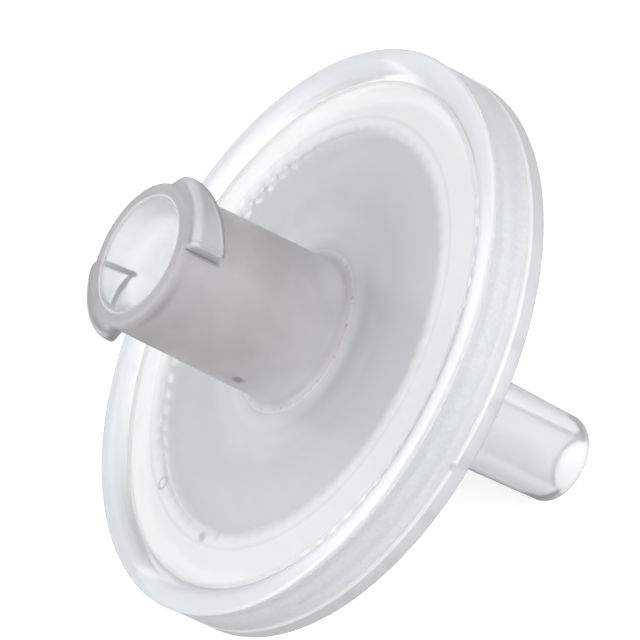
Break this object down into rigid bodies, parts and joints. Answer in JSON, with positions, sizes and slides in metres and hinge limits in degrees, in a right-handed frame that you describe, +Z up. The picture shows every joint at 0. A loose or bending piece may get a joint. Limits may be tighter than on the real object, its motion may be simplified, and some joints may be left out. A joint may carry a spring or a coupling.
{
  "type": "syringe filter",
  "caption": "Round disc syringe filter with a female Luer lock inlet, a male Luer slip outlet and a flat membrane sealed between two welded halves.",
  "frame": {"origin": "on the floor, under the middle of the part's bounding box", "axes": "+Z up, with the filter lying as it comes to rest on the edge of its flange and the edge of its outlet tip. The flow axis lies in the XZ plane and rises 41.3 degrees towards -X, so the inlet points to -X and up and the outlet to +X and down. +Y runs across the disc"},
  "size_m": [0.0216, 0.0262, 0.0215],
  "materials": {
    "inlet_plastic": "translucent natural polypropylene, smooth moulded gloss with a faint milky haze",
    "membrane_sheet": "matt microporous filter membrane, pale grey where it is seen through the housing",
    "outlet_plastic": "translucent natural polypropylene, smooth moulded gloss with a faint milky haze"
  },
  "bodies": {
    "root": {"inlet_housing": "inlet_plastic", "membrane": "membrane_sheet", "outlet_housing": "outlet_plastic"}
  },
  "joints": []
}
